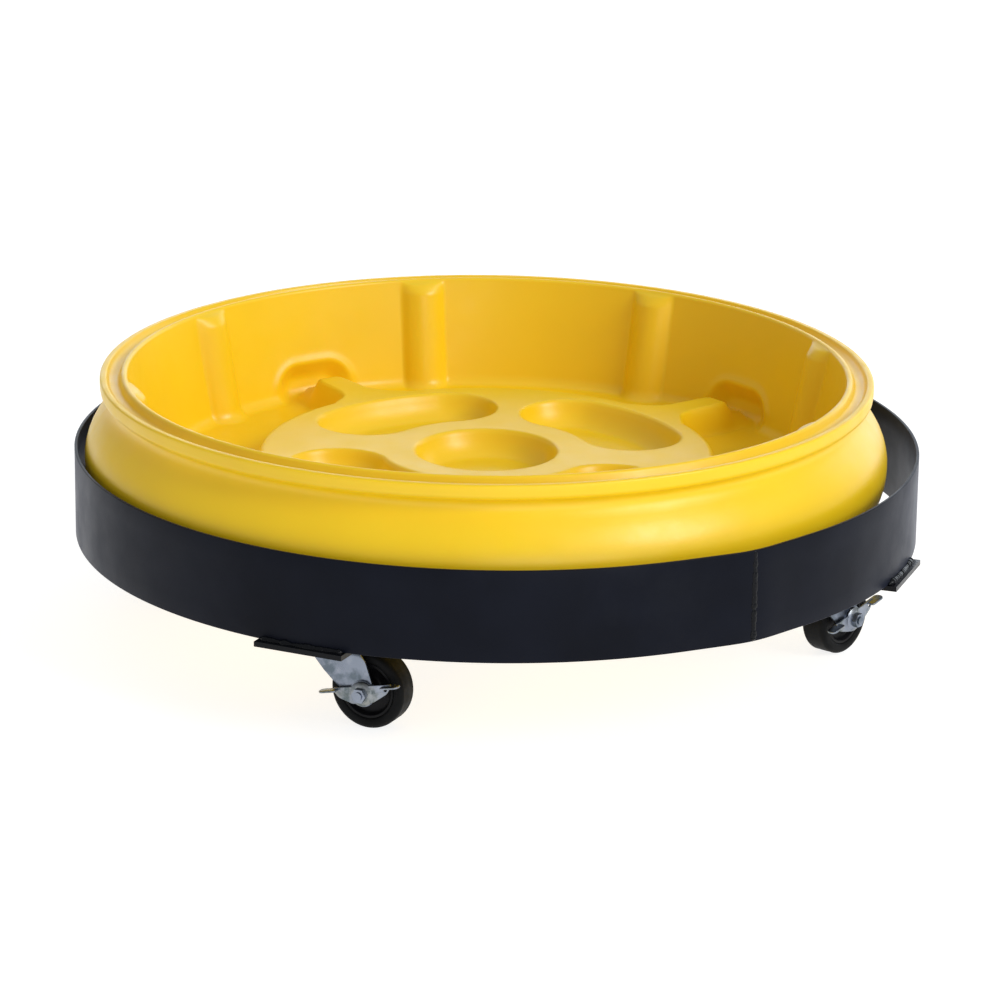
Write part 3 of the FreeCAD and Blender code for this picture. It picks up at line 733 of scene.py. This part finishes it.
def ring_band():
    """The rolled flat bar, with rounded edges."""
    thickness = 3.2 * MM
    edge = 0.7 * MM
    outline = rounded([
        (0, RING_BOTTOM, edge), (-thickness, RING_BOTTOM, edge),
        (-thickness, RING_TOP, edge), (0, RING_TOP, edge),
    ], 3)
    section = []
    for (x, z), (next_x, next_z) in zip(outline, outline[1:] + outline[:1]):
        steps = max(1, int(abs(next_z - z) / (15 * MM)))
        section += [(x + (next_x - x) * k / steps, z + (next_z - z) * k / steps) for k in range(steps)]
    columns = 540
    angles = np.arange(columns) * TAU / columns
    base = ring_radius_at(angles)
    points = []
    for x, z in section:
        radius = base + x
        points += list(zip(radius * np.cos(angles), radius * np.sin(angles), [z] * columns))
    obj = new_mesh("ring_band_coat", points, grid_faces(len(section), columns, True))
    tidy(obj)
    shade(obj, 50)
    finish_piece(obj, "powder", "frame", "ring_band")


def bead(name, line, side, up, width, height, pitch, seed):
    """A weld bead along a line of points: overlapping ripples, each a little different.

    The functions side and up give the directions of its width and its height at a point.
    """
    draw = np.random.default_rng(seed)
    line = np.array(line, float)
    steps = np.linalg.norm(np.diff(line, axis=0), axis=1)
    travel = np.concatenate([[0], np.cumsum(steps)])
    count = max(3, int(travel[-1] / (pitch / 6)))
    where = np.linspace(0, travel[-1], count)
    centre = np.stack([np.interp(where, travel, line[:, k]) for k in range(3)], 1)
    side = np.array([side(c) for c in centre])
    up = np.array([up(c) for c in centre])
    ripples = int(travel[-1] / pitch) + 2
    sizes = 1 + 0.22 * draw.standard_normal(ripples)
    phase = (where / pitch) % 1
    size = np.interp(where / pitch, np.arange(ripples), sizes)
    size = size * (0.82 + 0.18 * np.sqrt(np.clip(1 - (2 * phase - 1) ** 2, 0, 1)))
    to_end = np.minimum(where, travel[-1] - where)
    size = size * np.sqrt(np.clip(to_end / (width * 0.6), 0.02, 1))
    angles = np.linspace(0, TAU, 14, endpoint=False)
    rows = []
    for i in range(count):
        reach, rise = side[i] * width / 2 * size[i], up[i] * height * size[i]
        rows += [centre[i] + reach * math.cos(a) + rise * math.sin(a) for a in angles]
    faces = grid_faces(count, len(angles))
    faces.append(tuple(reversed(range(len(angles)))))
    faces.append(tuple(range((count - 1) * len(angles), count * len(angles))))
    obj = new_mesh(name, rows, faces, smooth=True)
    tidy(obj, 1e-7)
    obj.data.shade_smooth()
    return obj


def on_ring(radius, angle, z):
    return Vector((radius * math.cos(angle), radius * math.sin(angle), z))


def seam_weld():
    """The band's butt weld: low beads on both faces, with lumps left at its top and bottom."""
    out = Vector((math.cos(SEAM_ANGLE), math.sin(SEAM_ANGLE), 0))
    around = Vector((-out.y, out.x, 0))

    def side(point):
        return around

    def up(point):
        return out

    radius = float(ring_radius_at(SEAM_ANGLE))
    levels = np.linspace(RING_BOTTOM + 1 * MM, RING_TOP - 0.5 * MM, 40)
    pieces = []
    for k, (face, height) in enumerate(((radius - 0.4 * MM, 1.6 * MM), (radius - 2.9 * MM, 1.8 * MM))):
        line = [on_ring(face, SEAM_ANGLE, z) for z in levels]
        pieces.append(bead(f"seam_{k}", line, side, up, 6.5 * MM, height, 3.4 * MM, 11 + k))
    for k, z in enumerate((RING_BOTTOM + 3 * MM, RING_TOP - 3 * MM)):
        line = [on_ring(radius - 1.6 * MM, SEAM_ANGLE, z + d) for d in (-3.5 * MM, 0, 3.5 * MM)]
        pieces.append(bead(f"seam_end_{k}", line, side, up, 8.5 * MM, 3.4 * MM, 3.2 * MM, 21 + k))
    obj = join("seam_weld_bead", pieces)
    obj.data.shade_smooth()
    finish_piece(obj, "weld", "frame", "ring_seam_weld")


def fillet_bead(name, side, angle, seed):
    """One fillet weld on a bar, at the ring's outer face where side is 1 and its inner face where -1."""
    slope = math.radians(45)
    half = math.asin(43 * MM / RING_RADIUS)
    radius = RING_RADIUS + 0.8 * MM if side == 1 else RING_RADIUS - 3.9 * MM
    line = [on_ring(radius, angle + half * t, RING_BOTTOM + 0.8 * MM) for t in np.linspace(-1, 1, 40)]

    def away(point):
        return Vector((point[0], point[1], 0)).normalized() * side

    def along_face(point):
        return away(point) * math.sin(slope) - Vector((0, 0, math.cos(slope)))

    def out_of_face(point):
        return away(point) * math.cos(slope) + Vector((0, 0, math.sin(slope)))

    return bead(name, line, along_face, out_of_face, 6.4 * MM, 2.6 * MM, 4.2 * MM, seed)


def ring_bar_welds():
    """Fillet welds where the ring stands on the bars, outside and inside."""
    pieces = []
    for k, angle in enumerate(BAR_ANGLES):
        for side in (1, -1):
            pieces.append(fillet_bead(f"fillet_{k}_{side}", side, angle, 31 + k * 2 + side))
    obj = join("ring_bar_weld_beads", pieces)
    obj.data.shade_smooth()
    finish_piece(obj, "weld", "frame", "ring_bar_welds")


# ---------------------------------------------------------------- casters

HALF_GAP = 18 * MM
LEG = 2.5 * MM
LEG_OUT = HALF_GAP + LEG
CROWN_TOP = 81 * MM
LEVER_TILT = math.radians(12)
ALONG_AXLE = Matrix.Rotation(math.radians(90), 4, "X")


def about_axle(obj, place):
    """Stands a piece made along Z on the axle, its +Z towards the lever side."""
    return move(obj, place @ Matrix.Translation((TRAIL, 0, WHEEL_RADIUS)) @ ALONG_AXLE)


def tyre(number, place):
    """A tread with a slight crown and well rounded shoulders."""
    half = 14 * MM
    r = WHEEL_RADIUS
    right = [
        (27.4 * MM, half - 3.2 * MM), (28.2 * MM, half - 1.0 * MM),
        (29.4 * MM, half - 0.3 * MM), (31.2 * MM, half),
    ]
    right += arc_points((r - 5.2 * MM, half - 5.2 * MM), 5.2 * MM, 78, 6, 9)
    right += [(r - 0.25 * MM, 7.0 * MM), (r - 0.06 * MM, 3.6 * MM), (r, 0.0)]
    left = [(a, -b) for a, b in reversed(right[:-1])]
    obj = lathe(f"caster_{number}_tyre_rubber", right + left, 128)
    tidy(obj)
    shade(obj, 50)
    about_axle(obj, place)
    finish_piece(obj, "rubber", f"wheel_{number}", f"caster_{number}_tyre")


def wheel_core(number, place):
    """A moulded hub with a dished web and a rim."""
    bore, half = 6.45 * MM, 16.5 * MM
    right = [
        (bore, half - 0.5 * MM), (bore + 0.5 * MM, half),
        (10.4 * MM, half), (11.2 * MM, half - 0.6 * MM),
    ]
    right += [(r * MM, y * MM) for r, y in (
        (12.4, 8.6), (13.6, 7.2), (15.2, 6.7), (21.0, 6.7), (22.6, 7.2), (23.7, 8.4), (24.6, 11.6),
        (25.2, 12.3), (27.4, 12.3),
    )]
    left = [(a, -b) for a, b in reversed(right)]
    obj = lathe(f"caster_{number}_core_moulding", right + left, 96)
    tidy(obj)
    shade(obj, 40)
    about_axle(obj, place)
    finish_piece(obj, "core", f"wheel_{number}", f"caster_{number}_wheel_core")


def leg_edges(height):
    """The leg's leading and trailing edge at a height, as X in the caster's frame."""
    marks = np.array([26.1, 28.5, 32.0, 38.1, 46.5, 55.0, 65.5, 74.0, 81.0]) * MM
    lead = np.array([31.0, 24.5, 18.6, 9.0, -0.5, -9.8, -19.0, -23.2, -24.0]) * MM
    trail = np.array([33.0, 39.6, 43.0, 43.9, 41.8, 38.9, 35.2, 32.0, 29.0]) * MM
    return np.interp(height, marks, lead), np.interp(height, marks, trail)


def fork_sheet(name):
    """The bent sheet: up one leg, over the round crown and down the other."""
    bend = 7 * MM
    low, high = 26.1 * MM, CROWN_TOP - LEG / 2
    mid_y = HALF_GAP + LEG / 2
    flat = mid_y - bend
    leg = [(mid_y, z) for z in np.linspace(low, high - bend, 34, endpoint=False)]
    leg += arc_points((flat, high - bend), bend, 0, 90, 7)
    crown = [(y, high) for y in np.linspace(flat, -flat, 8)[1:-1]]
    path = leg + crown + [(-y, z) for y, z in reversed(leg)]
    crown_start = CROWN_TOP - 12 * MM
    columns = 15
    points = []
    for y, z in path:
        lead, trail = leg_edges(z)
        if z > crown_start:
            edge = math.sqrt(max(0, 1 - (y / (34 * MM)) ** 2)) * 33 * MM
            mix = float(smooth_step((z - crown_start) / (10 * MM)))
            lead = lead + (-edge - lead) * mix
            trail = trail + (edge - trail) * mix
        points += [(x, y, z) for x in np.linspace(lead, trail, columns)]
    obj = new_mesh(name, points, grid_faces(len(path), columns, False, False))
    solid = obj.modifiers.new("sheet", "SOLIDIFY")
    solid.thickness = LEG
    solid.offset = 0
    add_bevel(obj, 0.6 * MM, 50)
    obj = evaluated(obj, name)
    shade(obj)
    return obj


def fork(number, place):
    """A pressing: crown with a dished race, bent down at both sides into tapering legs."""
    name = f"caster_{number}_fork_pressing"
    sheet = fork_sheet(name)
    race = lathe(f"fork_race_{number}", [
        (12 * MM, CROWN_TOP - 0.5 * MM), (13.5 * MM, CROWN_TOP + 2.0 * MM), (16 * MM, CROWN_TOP + 3.3 * MM),
        (24.6 * MM, CROWN_TOP + 3.5 * MM), (26 * MM, CROWN_TOP + 2.4 * MM), (26.6 * MM, CROWN_TOP - 0.5 * MM),
    ], 64)
    boss_rows = [(r * MM, z * MM) for r, z in ((4.2, 0), (12.2, 0), (12.8, 0.5), (11.2, 1.4), (4.2, 1.4))]
    bosses = []
    for side in (-1, 1):
        boss = lathe(f"fork_boss_{number}_{side}", boss_rows, 48)
        move(boss, Matrix.Rotation(math.radians(-90 * side), 4, "X"))
        move(boss, Matrix.Translation((TRAIL, side * (LEG_OUT - 0.4 * MM), WHEEL_RADIUS)))
        bosses.append(boss)
    obj = join(name, [sheet, race, *bosses])
    move(obj, place)
    finish_piece(obj, "zinc", f"swivel_{number}", f"caster_{number}_fork")


def brake_lever(number, place):
    """The rocker: a boat-shaped side plate, a foot pedal bent out at each end and a drawn hub."""
    thickness = 2 * MM
    level = 5 * MM
    start, reach, outer, inner = 24 * MM, 43 * MM, -8 * MM, 2.8 * MM
    outline = rounded([
        (35 * MM, 8 * MM, 1.5 * MM), (27 * MM, -1.5 * MM, 12 * MM), (11 * MM, -9 * MM, 8 * MM),
        (-11 * MM, -9 * MM, 8 * MM), (-25 * MM, -2 * MM, 10 * MM), (-31 * MM, 8 * MM, 2 * MM),
    ], 6)
    holes = [ring_of(4.08 * MM, 28), ring_of(1.9 * MM, 20, (26.5 * MM, 3.2 * MM))]
    side = plate(f"lever_side_{number}", [outline, *holes], thickness, 0.5 * MM)
    move(side, ALONG_AXLE)
    pedals = []
    for sign in (1, -1):
        shape = rounded([
            (start, outer, 2 * MM), (reach, outer, 4.6 * MM),
            (reach, inner, 4.6 * MM), (start, inner, 1.5 * MM),
        ], 8)
        shape = [(x * sign, y) for x, y in shape]
        pedal = plate(f"lever_pedal_{number}_{sign}", [shape], thickness, 0.6 * MM)
        move(pedal, Matrix.Translation((0, 0, level + thickness / 2)))
        pedals.append(pedal)
    hub_rows = [(r * MM, z * MM) for r, z in ((4.2, 0.4), (4.2, 2.4), (8.4, 2.4), (10.6, 1.6), (12.2, 0.4))]
    hub = lathe(f"lever_hub_{number}", hub_rows, 48)
    move(hub, ALONG_AXLE)
    obj = join(f"caster_{number}_lever_stamping", [side, *pedals, hub])
    gap = 2.2 * MM
    lever_y = -(LEG_OUT + gap + thickness / 2)
    tilt = Matrix.Rotation(-LEVER_TILT, 4, "Y")
    move(obj, place @ Matrix.Translation((TRAIL, lever_y, WHEEL_RADIUS)) @ tilt)
    finish_piece(obj, "lever", f"lever_{number}", f"caster_{number}_brake_lever")


def carried_nodes():
    """CAD nodes whose shape is right: they keep it, with softened edges and a real material."""
    rows = [
        ("cross_bar_long", "weld", 0.8), ("cross_bar_half_a", "weld", 0.8), ("cross_bar_half_b", "weld", 0.8),
        ("bar_centre_welds", "weld", 0), ("plate_screws", "zinc", 0.3), ("plate_lock_washers", "zinc", 0.2),
        ("plate_nuts", "zinc", 0.5),
    ]
    caster_rows = [
        ("top_plate", "zinc", 0.5), ("kingpin", "zinc", 0.5), ("race_balls", "steel", 0),
        ("axle_bolt", "zinc", 0.5), ("axle_nut", "zinc", 0.6), ("axle_sleeve", "steel", 0.2),
        ("brake_cam", "zinc", 0.4),
    ]
    for number in CASTERS:
        rows += [(f"caster_{number}_{part}", material, edge) for part, material, edge in caster_rows]
    for node, material, edge in rows:
        obj = frame["nodes"][node]
        give_material(obj, material)
        if edge:
            soften(obj, edge * MM)


MATERIALS = {
    "yellow": yellow_plastic(), "powder": black_powder_coat(), "weld": glossy_black(), "zinc": zinc(),
    "lever": yellow_zinc(), "steel": bright_steel(), "rubber": tyre_rubber(), "core": core_plastic(),
}

make_camera()
make_studio()
Tray().build()
ring_band()
seam_weld()
ring_bar_welds()
for number in CASTERS:
    place = caster_matrix(number)
    tyre(number, place)
    wheel_core(number, place)
    fork(number, place)
    brake_lever(number, place)
carried_nodes()
